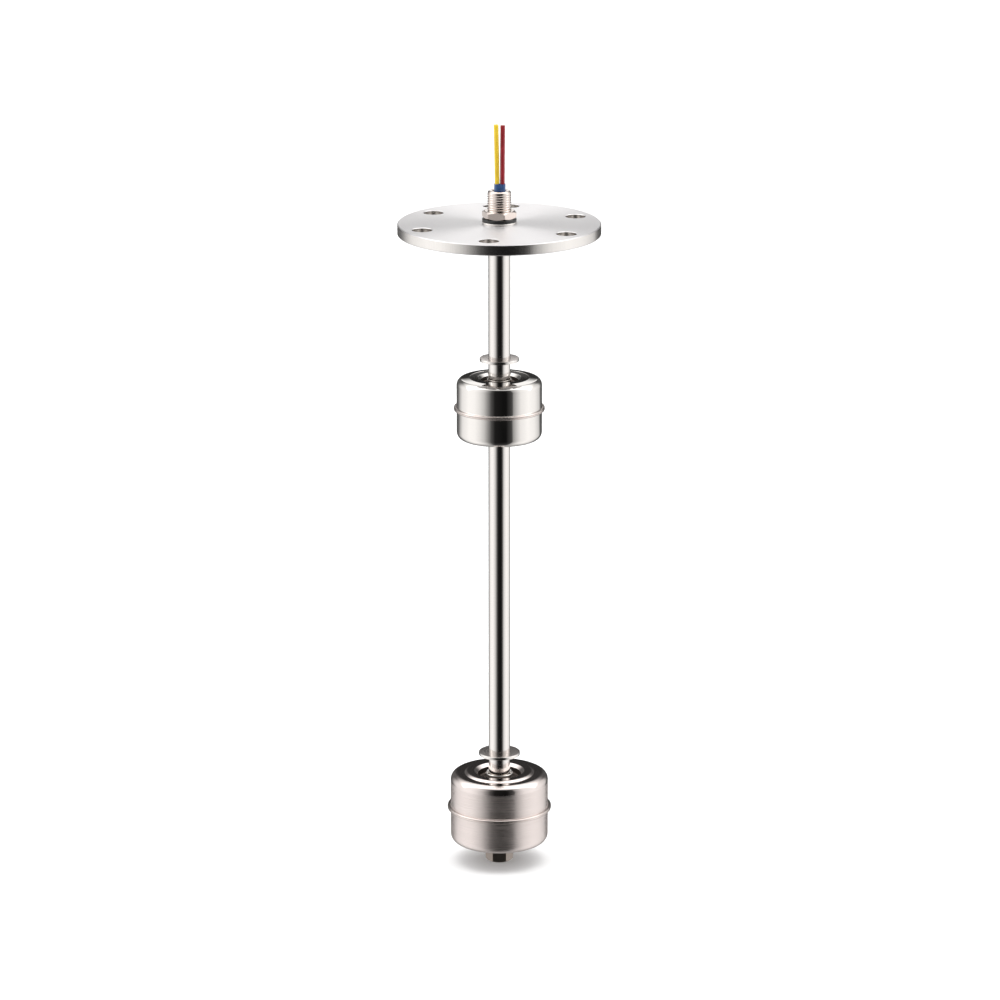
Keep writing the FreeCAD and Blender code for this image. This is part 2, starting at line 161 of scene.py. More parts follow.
def stainless(name, colour, roughness, marks, mark_mm, depth_um, spread, anisotropy=0.0):
    """Stainless steel with marks that run 'round' the axis or 'along' it.

    mark_mm is the marks' real spacing, depth_um the bump's depth in micrometres,
    and spread how far the marks move the roughness.
    """
    finish, tree, shader, place = new_finish(name)
    xyz = add_node(tree, "ShaderNodeSeparateXYZ", {0: place})
    x, y, z = xyz.outputs
    flat = add_node(tree, "ShaderNodeCombineXYZ", {0: x, 1: y})
    radius = add_node(tree, "ShaderNodeVectorMath", {0: flat.outputs[0]}, operation="LENGTH").outputs["Value"]
    if marks == "round":
        along = add_node(tree, "ShaderNodeMath", {0: radius, 1: z}, operation="ADD").outputs[0]
    else:
        turn = add_node(tree, "ShaderNodeMath", {0: y, 1: x}, operation="ARCTAN2").outputs[0]
        along = add_node(tree, "ShaderNodeMath", {0: turn, 1: radius}, operation="MULTIPLY").outputs[0]
    line = add_node(tree, "ShaderNodeMath", {0: along, 1: 1 / (mark_mm * MM)}, operation="MULTIPLY").outputs[0]
    lines = add_node(
        tree, "ShaderNodeTexNoise", {"W": line, "Scale": 1.0, "Detail": 3.0, "Roughness": 0.6},
        noise_dimensions="1D",
    ).outputs[0]
    cloud = add_node(tree, "ShaderNodeTexNoise", {"Vector": place, "Scale": 60.0, "Detail": 2.0}).outputs[0]
    mixed = add_node(tree, "ShaderNodeMath", {0: lines, 1: cloud}, operation="ADD").outputs[0]
    rough = add_node(
        tree, "ShaderNodeMapRange",
        {"Value": mixed, "From Min": 0.6, "From Max": 1.4, "To Min": roughness - spread, "To Max": roughness + spread},
    ).outputs[0]
    tint = add_node(tree, "ShaderNodeValToRGB", {0: lines})
    dark = [c * 0.93 for c in linear(colour)[:3]] + [1.0]
    set_ramp(tint, [(0.3, dark), (0.6, linear(colour))])
    bump = add_node(
        tree, "ShaderNodeBump", {"Height": lines, "Strength": 1.0, "Distance": depth_um * 1e-6},
    ).outputs[0]
    tree.links.new(tint.outputs[0], shader.inputs["Base Color"])
    tree.links.new(rough, shader.inputs["Roughness"])
    tree.links.new(bump, shader.inputs["Normal"])
    shader.inputs["Metallic"].default_value = 1.0
    if anisotropy:
        shader.inputs["Anisotropic"].default_value = anisotropy
        shader.inputs["Anisotropic Rotation"].default_value = 0.25
        tangent = add_node(tree, "ShaderNodeTangent", direction_type="RADIAL", axis="Z")
        tree.links.new(tangent.outputs[0], shader.inputs["Tangent"])
    return finish


STEEL = "#DDD9D5"
mirror_polished_stainless = stainless("mirror_polished_stainless", STEEL, 0.06, "round", 0.25, 0.02, 0.012)
polished_stem_stainless = stainless("polished_stem_stainless", STEEL, 0.12, "round", 0.25, 0.04, 0.02)
satin_polished_stainless = stainless("satin_polished_stainless", "#DBD1CD", 0.12, "round", 0.15, 0.03, 0.02)
face_turned_stainless = stainless("face_turned_stainless", "#DFDDDD", 0.47, "round", 0.5, 5.0, 0.06, 0.68)
ground_rim_stainless = stainless("ground_rim_stainless", STEEL, 0.20, "along", 0.5, 1.5, 0.05)
machined_bar_stainless = stainless("machined_bar_stainless", "#D3C8C1", 0.15, "round", 0.4, 0.3, 0.04)
# The end plug's dark colour is painted shade from the dim space under the lower float; its high roughness is the dull
# skin of drawn bar.
drawn_bar_stainless = stainless("drawn_bar_stainless", "#948981", 0.38, "round", 0.5, 0.8, 0.05)
bright_rolled_stainless = stainless("bright_rolled_stainless", STEEL, 0.12, "round", 0.7, 0.3, 0.03)
rolled_bead_stainless = stainless("rolled_bead_stainless", "#D0C6C1", 0.24, "round", 0.5, 0.5, 0.04)
# The darker colour of this steel is painted shade inside the floats' wells.
brazed_well_stainless = stainless("brazed_well_stainless", "#5E5651", 0.45, "round", 0.5, 1.0, 0.05)
pressed_sheet_stainless = stainless("pressed_sheet_stainless", "#D3CCC8", 0.28, "round", 0.5, 0.6, 0.04)


def add_satin_scratches(finish, top_mm, fade_mm=2.0):
    """Rougher scratches on a polished wall, which end at the wall's top."""
    tree = finish.node_tree
    shader = tree.nodes["Principled BSDF"]
    polished = shader.inputs["Roughness"].links[0].from_socket
    z = tree.nodes["Separate XYZ"].outputs[2]
    lines = tree.nodes["Noise Texture"].outputs[0]
    scratch = add_node(
        tree, "ShaderNodeMapRange",
        {"Value": lines, "From Min": 0.44, "From Max": 0.60, "To Min": 0.12, "To Max": 0.66},
    ).outputs[0]
    below = add_node(
        tree, "ShaderNodeMapRange",
        {"Value": z, "From Min": top_mm * MM, "From Max": (top_mm + fade_mm) * MM, "To Min": 1.0, "To Max": 0.0},
    ).outputs[0]
    scratch = add_node(tree, "ShaderNodeMath", {0: scratch, 1: below}, operation="MULTIPLY").outputs[0]
    rough = add_node(tree, "ShaderNodeMath", {0: polished, 1: scratch}, operation="MAXIMUM").outputs[0]
    tree.links.new(rough, shader.inputs["Roughness"])


print("steel finishes:", len(bpy.data.materials))

# %% [markdown]
# ## Rubber, resin, insulation and the rest
# The soft pieces are plastics: they reflect little and take their colour from
# below the surface. A mottle that shifts the roughness keeps them from looking
# like paint, and a fine bump gives each its own grain.

# %% Plastics and other finishes


def plastic(name, colour, shade, roughness, grain_mm, depth_um, ior=1.5, metallic=0.0):
    """A plain material with a mottled colour, varied roughness and a fine grain."""
    finish, tree, shader, place = new_finish(name)
    grain = add_node(
        tree, "ShaderNodeTexNoise", {"Vector": place, "Scale": 1 / (grain_mm * MM), "Detail": 4.0},
    ).outputs[0]
    cloud = add_node(tree, "ShaderNodeTexNoise", {"Vector": place, "Scale": 250.0, "Detail": 2.0}).outputs[0]
    tint = add_node(tree, "ShaderNodeValToRGB", {0: cloud})
    set_ramp(tint, [(0.35, linear(shade)), (0.65, linear(colour))])
    rough = add_node(
        tree, "ShaderNodeMapRange",
        {"Value": grain, "From Min": 0.3, "From Max": 0.7, "To Min": roughness - 0.06, "To Max": roughness + 0.06},
    ).outputs[0]
    bump = add_node(
        tree, "ShaderNodeBump", {"Height": grain, "Strength": 1.0, "Distance": depth_um * 1e-6},
    ).outputs[0]
    tree.links.new(tint.outputs[0], shader.inputs["Base Color"])
    tree.links.new(rough, shader.inputs["Roughness"])
    tree.links.new(bump, shader.inputs["Normal"])
    shader.inputs["IOR"].default_value = ior
    shader.inputs["Metallic"].default_value = metallic
    return finish


nitrile_rubber = plastic("nitrile_rubber", "#101010", "#0A0A0A", 0.28, 0.3, 4.0, 1.52)
epoxy_potting_resin = plastic("epoxy_potting_resin", "#161616", "#0C0C0C", 0.35, 0.8, 8.0, 1.55)
shrink_sleeve_blue = plastic("shrink_sleeve_blue", "#4A6CA0", "#34568C", 0.14, 0.5, 4.0, 1.51)
pvc_insulation_yellow = plastic("pvc_insulation_yellow", "#F0CF2C", "#E6C020", 0.24, 0.4, 3.0, 1.53)
pvc_insulation_red = plastic("pvc_insulation_red", "#A01C2A", "#8C1622", 0.24, 0.4, 3.0, 1.53)
pvc_insulation_grey = plastic("pvc_insulation_grey", "#8C8C90", "#7C7C80", 0.40, 0.4, 3.0, 1.53)
glass_epoxy_laminate = plastic("glass_epoxy_laminate", "#2E6B45", "#24583A", 0.45, 0.25, 5.0, 1.55)
sintered_ferrite = plastic("sintered_ferrite", "#3A3A3E", "#2C2C30", 0.55, 0.15, 8.0, 2.2)
nickel_iron_blade = plastic("nickel_iron_blade", "#C4BCB0", "#B4ACA0", 0.28, 0.2, 2.0, 1.5, 1.0)
copper_strand = plastic("copper_strand", "#D08A62", "#B87350", 0.25, 0.1, 2.0, 1.5, 1.0)
reed_glass = plastic("reed_glass", "#C9E0D0", "#BFD8C8", 0.08, 1.0, 1.0, 1.52)
reed_glass.node_tree.nodes["Principled BSDF"].inputs["Transmission Weight"].default_value = 0.9
print("finishes:", len(bpy.data.materials))

# %% [markdown]
# ## The lead wires
# Two insulated wires leave the head side by side and end cut square, ready to
# be stripped. Each follows a smooth curve through the same few points as the
# solid model's route. The curve's bevel gives it the wire's thickness.

# %% Wires
WIRE_R = 2.75 / 2
WIRE_ROUTES = {
    "yellow": [(-1.15, 0, 16), (-1.15, 0, 34), (-1.85, -0.7, 63.55)],
    "red": [(1.75, 0, 16), (1.75, 0, 36), (1.98, 0.6, 62.95)],
}
WIRE_FINISH = {"yellow": pvc_insulation_yellow, "red": pvc_insulation_red}


def lay_wire(colour):
    """A round wire as a bevelled curve."""
    curve = bpy.data.curves.new(f"lead_wire_{colour}_skin", "CURVE")
    curve.dimensions = "3D"
    spline = curve.splines.new("NURBS")
    route = WIRE_ROUTES[colour]
    spline.points.add(len(route) - 1)
    for point, at in zip(spline.points, route):
        point.co = [v * MM for v in at] + [1.0]
    spline.order_u = 3
    spline.use_endpoint_u = True
    spline.resolution_u = 24
    curve.bevel_depth = WIRE_R * MM
    curve.bevel_resolution = 10
    curve.use_fill_caps = True
    wire = bpy.data.objects.new(f"lead_wire_{colour}_skin", curve)
    curve.materials.append(WIRE_FINISH[colour])
    bpy.context.scene.collection.objects.link(wire)
    return wire


wires = {colour: lay_wire(colour) for colour in WIRE_ROUTES}
print("wires:", list(wires))

# %% [markdown]
# ## Turned pieces
# Nearly everything here is round: it was turned, drawn or spun about the stem's
# axis. One function spins an outline of radius and height about that axis. The
# outline may also change with the angle, and that makes hexagons and the
# sleeve's oblong from the same function. Edges sharper than a set angle stay
# crisp, and everything else is shaded smooth.

# %% Spinning an outline
SEGMENTS = 192
CRISP_DEG = 28.0


def arc(centre, radius, start_deg, end_deg, steps=12):
    """Points of an arc in the radius and height plane."""
    turns = [math.radians(start_deg + (end_deg - start_deg) * i / steps) for i in range(steps + 1)]
    return [(centre[0] + radius * math.cos(t), centre[1] + radius * math.sin(t)) for t in turns]


def smooth_with_crisp_edges(mesh):
    mesh.polygons.foreach_set("use_smooth", [True] * len(mesh.polygons))
    mesh.set_sharp_from_angle(angle=math.radians(CRISP_DEG))


def even_turns(count=SEGMENTS):
    return [math.tau * i / count for i in range(count)]


def spin(name, outline, turns=None, shift_x=0.0):
    """Spins a closed outline, or an outline that depends on the angle, about Z."""
    turns = turns or even_turns()
    rows = [outline(t) if callable(outline) else outline for t in turns]
    shape = bmesh.new()
    rings = [
        [shape.verts.new(Vector((r * math.cos(t) + shift_x, r * math.sin(t), z)) * MM) for r, z in row]
        for t, row in zip(turns, rows)
    ]
    for ring, after in zip(rings, rings[1:] + rings[:1]):
        for i in range(len(ring)):
            j = (i + 1) % len(ring)
            shape.faces.new((ring[i], after[i], after[j], ring[j]))
    bmesh.ops.remove_doubles(shape, verts=shape.verts, dist=1e-7)
    bmesh.ops.dissolve_degenerate(shape, edges=shape.edges, dist=1e-8)
    bmesh.ops.recalc_face_normals(shape, faces=shape.faces)
    mesh = bpy.data.meshes.new(name)
    shape.to_mesh(mesh)
    shape.free()
    smooth_with_crisp_edges(mesh)
    piece = bpy.data.objects.new(name, mesh)
    bpy.context.scene.collection.objects.link(piece)
    return piece


def settle(piece, finish, body, slot, *nodes):
    """Gives a piece its finish and its body, and hides the solid pieces it replaces."""
    if not piece.data.materials:
        piece.data.materials.append(finish)
    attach(piece, body)
    if nodes:
        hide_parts(*nodes)
    return piece


# %% [markdown]
# ## The stem and its stops
# The stem is a polished tube. Thin stop discs are pressed on it to limit each
# float's slide; their outer edges are broken so that they don't cut a hand.

# %% Stem and stops
STEM_WALL = 1.24
STOP_EDGE = 0.25
WELD_GAP = 0.03

stem = spin("polished_stem", [
    (STEM_R, STEM_LOW), (STEM_R, STEM_TOP), (STEM_R - STEM_WALL, STEM_TOP), (STEM_R - STEM_WALL, STEM_LOW),
])
settle(stem, polished_stem_stainless, "stem_assembly", "polished_stainless", "stem_tube")

for node in ("upper_float_top_stop", "upper_float_low_stop", "lower_float_top_stop"):
    r, low, high = span(node)
    bore = STEM_R + WELD_GAP
    outline = [(bore, low)] + arc((r - STOP_EDGE, low + STOP_EDGE), STOP_EDGE, -90, 0, 4)
    outline += arc((r - STOP_EDGE, high - STOP_EDGE), STOP_EDGE, 0, 90, 4) + [(bore, high)]
    stop = spin(node.replace("_stop", "_stop_disc"), outline)
    stop.data.materials.append(pressed_sheet_stainless)
    stop.data.materials.append(bright_rolled_stainless)
    for face in stop.data.polygons:
        face.material_index = 0 if abs(face.normal.z) > 0.9 else 1
    settle(stop, pressed_sheet_stainless, "stem_assembly", "polished_stainless", node)
    print(stop.name, "radius", round(r, 2), "from", round(low, 2), "to", round(high, 2))

# %% [markdown]
# ## The floats
# A float is two deep-drawn cups of thin sheet, joined at a rolled bead round
# the middle. The end of each cup is dished: a rounded shoulder rises to a
# crest, steps down to a flat ring, and drops into a well round the centre
# tube. The outline follows those bends as arcs, so that the mirror finish
# shows clean bands, and the tube is flared over the well like a small trumpet.

# %% Float outlines
SHEET_T = 0.5
TUBE_IN_R, TUBE_OUT_R, TUBE_FLARE_R = 6.55, 6.90, 3.0
LOW_LIP_R, LIP_DROP = 7.1, 0.9
WELL_FLOOR_R, WELL_RIM_R = 1.0, 0.4
WELL_WALL_LEAN = 0.15
BEAD_HALF_H, BEAD_ROUND, SEAM_R, BEAD_FOOT_R = 1.1, 0.8, 0.3, 0.3
FLOATS = {
    "upper": dict(body_r=24.75, shoulder_r=5.8, well_r=12.6, well_depth=4.4, lip_r=7.1, funnel=(1.8, 1.25)),
    "lower": dict(body_r=28.8, shoulder_r=6.85, well_r=14.8, well_depth=5.4, lip_r=8.05, funnel=(2.1, 1.5)),
}
# The ring between well and shoulder as corners: radius, height from the float's top, rounding.
RING = {
    "upper": [
        (12.6, -0.1, WELL_RIM_R), (17.25, -0.12, 0.1), (17.35, 0.0, 0.08), (22.4, -0.5, 3.5), (24.75, -2.45, 4.2),
    ],
    "lower": [(14.8, 0.0, WELL_RIM_R), (19.4, 0.0, 2.2), (20.6, -1.0, 0.1), (28.8, -0.95, 4.2)],
}
for name, f in FLOATS.items():
    f["bead_r"], f["level"], top = span(f"{name}_float_top_shell")
    f["half_h"] = top - f["level"]
    print(f"{name}: centre height {f['level']:.1f}, half height {f['half_h']:.2f} mm")


def shifted(corners, depth):
    """A path of (radius, height, rounding) corners moved to its right by the sheet's depth."""
    moved = []
    for i, (r, z, rounding) in enumerate(corners):
        before, after = corners[max(i - 1, 0)], corners[min(i + 1, len(corners) - 1)]
        first = Vector((r - before[0], z - before[1])) if i else Vector((after[0] - r, after[1] - z))
        second = Vector((after[0] - r, after[1] - z)) if i < len(corners) - 1 else first
        first, second = first.normalized(), second.normalized()
        left_turn = first.x * second.y - first.y * second.x
        across = Vector((first.y + second.y, -first.x - second.x)).normalized()
        reach = depth / max(0.2, across.x * first.y - across.y * first.x)
        grown = rounding + (depth if left_turn > 0 else -depth)
        moved.append((r + across.x * reach, z + across.y * reach, max(0.05, grown) if rounding else 0.0))
    return moved


def rounded(corners):
    """Points of a path whose corners are arcs, about one point for every four degrees."""
    points = [corners[0][:2]]
    for before, corner, after in zip(corners, corners[1:], corners[2:]):
        at = Vector(corner[:2])
        to_before, to_after = Vector(before[:2]) - at, Vector(after[:2]) - at
        inside = to_before.angle(to_after)
        turn = math.pi - inside
        along = corner[2] / math.tan(inside / 2)
        bisector = (to_before.normalized() + to_after.normalized()).normalized()
        centre = at + bisector * corner[2] / math.sin(inside / 2)
        start = at + to_before.normalized() * along - centre
        sign = 1 if to_before.x * to_after.y - to_before.y * to_after.x < 0 else -1
        steps = max(2, round(math.degrees(turn) / 4))
        for i in range(steps + 1):
            t = sign * turn * i / steps
            spoke = Vector((
                start.x * math.cos(t) - start.y * math.sin(t), start.x * math.sin(t) + start.y * math.cos(t),
            ))
            points.append(tuple(centre + spoke))
    return points + [corners[-1][:2]]


def cup_corners(name):
    """Corners of a cup's skin from the hole over the crest to the end of the side wall."""
    f = FLOATS[name]
    floor = f["half_h"] - f["well_depth"]
    ring = [(r, f["half_h"] + z, rounding) for r, z, rounding in RING[name]]
    in_r, in_z = f["well_r"] - f["funnel"][0], ring[0][1] - f["funnel"][1]
    return [
        (TUBE_OUT_R + WELD_GAP, floor, 0), (in_r - WELL_WALL_LEAN, floor, WELL_FLOOR_R), (in_r, in_z, 0.3),
        *ring, (f["body_r"], BEAD_HALF_H + BEAD_FOOT_R, 0),
    ]


def cup_outline(name):
    """Closed outline of one cup with its half of the rolled bead, from the bead's middle."""
    f = FLOATS[name]
    skin, inner = cup_corners(name), shifted(cup_corners(name), SHEET_T)
    foot = (f["body_r"] + BEAD_FOOT_R, BEAD_HALF_H + BEAD_FOOT_R)
    nose = (f["bead_r"] - BEAD_ROUND, BEAD_HALF_H - BEAD_ROUND)
    bead = arc(foot, BEAD_FOOT_R, 180, 270, 5)[1:] + arc(nose, BEAD_ROUND, 90, 0, 8)
    seam = arc((f["bead_r"] - SEAM_R, SEAM_R), SEAM_R, 0, -90, 4)
    return rounded(skin) + bead + seam + [(f["body_r"] - SHEET_T, 0)] + rounded(inner)[::-1]


def placed(outline, level, side):
    """An outline moved to a level, turned upside down where side is -1."""
    return [(r, level + side * z) for r, z in outline]


def tube_outline(f, level):
    """A float's centre tube, flared at both ends."""
    end_z = f["half_h"] - LIP_DROP
    outside, inside = [], []
    for lip_r, side in ((f["lip_r"], 1), (LOW_LIP_R, -1)):
        turn = math.degrees(math.acos(1 - (lip_r - TUBE_OUT_R) / TUBE_FLARE_R))
        wide = TUBE_FLARE_R + TUBE_OUT_R - TUBE_IN_R
        start_z = end_z - wide * math.sin(math.radians(turn))
        middle = (TUBE_OUT_R + TUBE_FLARE_R, start_z)
        outer = placed(arc(middle, TUBE_FLARE_R, 180, 180 - turn), level, side)
        inner = placed(arc(middle, wide, 180, 180 - turn), level, side)
        outside += outer if side > 0 else outer[::-1]
        inside += inner if side > 0 else inner[::-1]
    top_outer, low_outer = outside[:13], outside[13:]
    top_inner, low_inner = inside[:13], inside[13:]
    return low_outer + top_outer + top_inner[::-1] + low_inner[::-1]


# %% Floats
wall_top = FLOATS["lower"]["level"] + FLOATS["lower"]["half_h"] - FLOATS["lower"]["shoulder_r"]
add_satin_scratches(satin_polished_stainless, wall_top)
SHELL_FINISH = {"upper": mirror_polished_stainless, "lower": satin_polished_stainless}
SHELL_SLOT = {"upper": "polished_shell", "lower": "satin_shell"}
for name, f in FLOATS.items():
    body = f"{name}_float"
    for half, side in (("top", 1), ("bottom", -1)):
        cup = spin(f"{name}_float_{half}_cup", placed(cup_outline(name), f["level"], side))
        cup.data.materials.append(SHELL_FINISH[name])
        cup.data.materials.append(brazed_well_stainless)
        cup.data.materials.append(rolled_bead_stainless)
        # Faces inside the well's wall take slot 1, whose darker colour is painted shade; the bead's faces take slot 2.
        well_wall_r = f["well_r"] - f["funnel"][0]
        for face in cup.data.polygons:
            r = math.hypot(face.center.x, face.center.y) / MM
            face.material_index = 1 if r < well_wall_r else 2 if r > f["body_r"] + 0.1 else 0
        settle(cup, SHELL_FINISH[name], body, SHELL_SLOT[name], f"{name}_float_{half}_shell")
    tube = spin(f"{name}_float_flared_tube", tube_outline(f, f["level"]))
    settle(tube, mirror_polished_stainless, body, "bright_stainless", f"{name}_float_centre_tube")
    print(name, "float faces:", len(cup.data.polygons), "per cup")

# %% [markdown]
# ## The flange and its holes
# The flange is a turned disc with six bolt holes and a small vent hole. The
# holes repeat by a rule, so a Geometry Nodes tree places copies of one cutter
# round a circle and takes them out of the disc. The same tree runs again with
# a count of one for the vent. Its inputs are the count, the circle's radius
# and the first hole's angle.

# %% Geometry Nodes helpers


def new_tree(name, sockets):
    """A Geometry Nodes tree with a geometry in and out and the named inputs."""
    tree = bpy.data.node_groups.new(name, "GeometryNodeTree")
    tree.interface.new_socket("Geometry", in_out="INPUT", socket_type="NodeSocketGeometry")
    tree.interface.new_socket("Geometry", in_out="OUTPUT", socket_type="NodeSocketGeometry")
    for label, kind in sockets:
        tree.interface.new_socket(label, in_out="INPUT", socket_type=kind)
    return tree, add_node(tree, "NodeGroupInput").outputs


def run_tree(piece, tree, **values):
    """Runs a tree on a piece with its inputs set, and keeps the plain mesh."""
    modifier = piece.modifiers.new(tree.name, "NODES")
    modifier.node_group = tree
    for socket in tree.interface.items_tree:
        if socket.in_out == "INPUT" and socket.name.replace(" ", "_").lower() in values:
            modifier[socket.identifier] = values[socket.name.replace(" ", "_").lower()]
    shown = piece.evaluated_get(bpy.context.evaluated_depsgraph_get())
    mesh = bpy.data.meshes.new_from_object(shown)
    piece.modifiers.remove(modifier)
    mesh.materials.clear()
    mesh.materials.append(values["finish"])
    mesh.polygons.foreach_set("material_index", [0] * len(mesh.polygons))
    piece.data = mesh
    smooth_with_crisp_edges(mesh)


drill, drill_in = new_tree("drill_round_a_circle", [
    ("Cutter", "NodeSocketObject"), ("Count", "NodeSocketInt"), ("Circle Radius", "NodeSocketFloat"),
    ("First Angle", "NodeSocketFloat"), ("Finish", "NodeSocketMaterial"),
])
index = add_node(drill, "GeometryNodeInputIndex").outputs[0]
share = add_node(drill, "ShaderNodeMath", {0: index, 1: drill_in["Count"]}, operation="DIVIDE").outputs[0]
turn = add_node(
    drill, "ShaderNodeMath", {0: share, 1: math.tau, 2: drill_in["First Angle"]}, operation="MULTIPLY_ADD",
).outputs[0]
sweep = add_node(drill, "ShaderNodeCombineXYZ", {"Z": turn}).outputs[0]
arm = add_node(drill, "ShaderNodeCombineXYZ", {"X": drill_in["Circle Radius"]}).outputs[0]
hole_at = add_node(
    drill, "ShaderNodeVectorRotate", {"Vector": arm, "Rotation": sweep}, rotation_type="EULER_XYZ",
).outputs[0]
centres = add_node(drill, "GeometryNodePoints", {"Count": drill_in["Count"], "Position": hole_at}).outputs[0]
cutter_shape = add_node(drill, "GeometryNodeObjectInfo", {"Object": drill_in["Cutter"]}).outputs["Geometry"]
cutters = add_node(
    drill, "GeometryNodeInstanceOnPoints", {"Points": centres, "Instance": cutter_shape},
).outputs[0]
solid_cutters = add_node(drill, "GeometryNodeRealizeInstances", {0: cutters}).outputs[0]
drilled = add_node(
    drill, "GeometryNodeMeshBoolean", {0: drill_in["Geometry"], 1: solid_cutters}, operation="DIFFERENCE",
    solver="MANIFOLD",
).outputs["Mesh"]
whole = add_node(drill, "GeometryNodeRealizeInstances", {0: drilled}).outputs[0]
finished = add_node(drill, "GeometryNodeSetMaterial", {0: whole, "Material": drill_in["Finish"]}).outputs[0]
add_node(drill, "NodeGroupOutput", {0: finished})

# %% Flange
FLANGE_EDGE = 0.5
HOLE_EDGE = 0.35
BOLT_COUNT, BOLT_CIRCLE_R, BOLT_HOLE_R, BOLT_FIRST_DEG = 6, 47.625, 5.75, 23.0
VENT_HOLE_R, VENT_DEG = 3.75, 97.0
THREAD_R = 6.858
FLANGE_BORE_R = THREAD_R + 0.12
SPOT_R, SPOT_DEPTH = 12.0, 0.5
PAST = 1.0  # how far a cutter reaches past the plate's faces

rim_r, low, high, e = FLANGE_R, FLANGE_LOW, FLANGE_TOP, FLANGE_EDGE
flange = spin("flange_plate", [
    (FLANGE_BORE_R, low + SPOT_DEPTH), (SPOT_R, low + SPOT_DEPTH), (SPOT_R, low), (rim_r - e, low),
    (rim_r, low + e), (rim_r, high - e), (rim_r - e, high), (FLANGE_BORE_R, high),
], even_turns(288))


def hole_cutter(name, r):
    """A drill with a countersink at both faces of the plate."""
    wide = r + HOLE_EDGE + PAST
    return spin(name, [
        (0, low - PAST), (wide, low - PAST), (r, low + HOLE_EDGE), (r, high - HOLE_EDGE), (wide, high + PAST),
        (0, high + PAST),
    ], even_turns(72))


for count, circle_r, r, first in (
    (BOLT_COUNT, BOLT_CIRCLE_R, BOLT_HOLE_R, BOLT_FIRST_DEG), (1, BOLT_CIRCLE_R, VENT_HOLE_R, VENT_DEG),
):
    cutter = hole_cutter("cutter", r)
    run_tree(
        flange, drill, cutter=cutter, count=count, circle_radius=circle_r * MM,
        first_angle=math.radians(first), finish=face_turned_stainless,
    )
    bpy.data.objects.remove(cutter)
flange.data.materials.append(ground_rim_stainless)
for face in flange.data.polygons:
    face.material_index = 1 if abs(face.normal.z) < 0.2 else 0
settle(flange, face_turned_stainless, "stem_assembly", "turned_stainless", "mounting_flange")
print("flange faces:", len(flange.data.polygons))

# %% [markdown]
# ## The threaded head
# The nipple on top carries a right-handed pipe thread of 18 threads to the
# inch. A thread is a rule, not a drawing: at any point the depth depends only
# on the height and the angle. So a Geometry Nodes tree takes a plain turned
# blank and moves each point inwards to the thread's own radius, but never
# outwards, which leaves the bore and the chamfer as they were cut.

# %% Thread tree
THREAD_PITCH = 25.4 / 18
THREAD_DEPTH = 0.28

thread, thread_in = new_tree("cut_thread", [
    ("Pitch", "NodeSocketFloat"), ("Major Radius", "NodeSocketFloat"), ("Depth", "NodeSocketFloat"),
    ("Start Height", "NodeSocketFloat"), ("Finish", "NodeSocketMaterial"),
])
spot = add_node(thread, "GeometryNodeInputPosition").outputs[0]
x, y, z = add_node(thread, "ShaderNodeSeparateXYZ", {0: spot}).outputs
angle = add_node(thread, "ShaderNodeMath", {0: y, 1: x}, operation="ARCTAN2").outputs[0]
turns_round = add_node(thread, "ShaderNodeMath", {0: angle, 1: math.tau}, operation="DIVIDE").outputs[0]
turns_up = add_node(thread, "ShaderNodeMath", {0: z, 1: thread_in["Pitch"]}, operation="DIVIDE").outputs[0]
phase = add_node(thread, "ShaderNodeMath", {0: turns_up, 1: turns_round}, operation="SUBTRACT").outputs[0]
tooth = add_node(thread, "ShaderNodeMath", {0: phase, 1: 0.5}, operation="PINGPONG").outputs[0]
cut = add_node(
    thread, "ShaderNodeMapRange",
    {"Value": tooth, "From Min": 0.07, "From Max": 0.44, "To Min": 0.0, "To Max": 1.0},
).outputs[0]
above = add_node(
    thread, "ShaderNodeMath", {0: z, 1: thread_in["Start Height"]}, operation="GREATER_THAN",
).outputs[0]
depth_here = add_node(thread, "ShaderNodeMath", {0: cut, 1: thread_in["Depth"]}, operation="MULTIPLY").outputs[0]
depth_cut = add_node(thread, "ShaderNodeMath", {0: depth_here, 1: above}, operation="MULTIPLY").outputs[0]
thread_r = add_node(
    thread, "ShaderNodeMath", {0: thread_in["Major Radius"], 1: depth_cut}, operation="SUBTRACT",
).outputs[0]
flat_spot = add_node(thread, "ShaderNodeCombineXYZ", {0: x, 1: y}).outputs[0]
blank_r = add_node(thread, "ShaderNodeVectorMath", {0: flat_spot}, operation="LENGTH").outputs["Value"]
new_r = add_node(thread, "ShaderNodeMath", {0: thread_r, 1: blank_r}, operation="MINIMUM").outputs[0]
share = add_node(thread, "ShaderNodeMath", {0: new_r, 1: blank_r}, operation="DIVIDE").outputs[0]
pulled = add_node(thread, "ShaderNodeVectorMath", {0: flat_spot, "Scale": share}, operation="SCALE").outputs[0]
height = add_node(thread, "ShaderNodeCombineXYZ", {2: z}).outputs[0]
moved_to = add_node(thread, "ShaderNodeVectorMath", {0: pulled, 1: height}, operation="ADD").outputs[0]
moved = add_node(
    thread, "GeometryNodeSetPosition", {"Geometry": thread_in["Geometry"], "Position": moved_to},
).outputs[0]
whole = add_node(thread, "GeometryNodeRealizeInstances", {0: moved}).outputs[0]
finished = add_node(thread, "GeometryNodeSetMaterial", {0: whole, "Material": thread_in["Finish"]}).outputs[0]
add_node(thread, "NodeGroupOutput", {0: finished})

# %% Nipple
SHANK_R = 6.3
HEAD_BORE_R, HEAD_BORE_EDGE = 3.75, 0.35
CHAMFER_R, CHAMFER_H = 1.1, 1.9
SOCKET_TOP, SOCKET_LOW, SOCKET_R = -2.5, -8.5, STEM_R + WELD_GAP
BOSS_R = 8.25
NUT_TOP = span("head_jam_nut")[2]
ROWS_PER_PITCH = 16

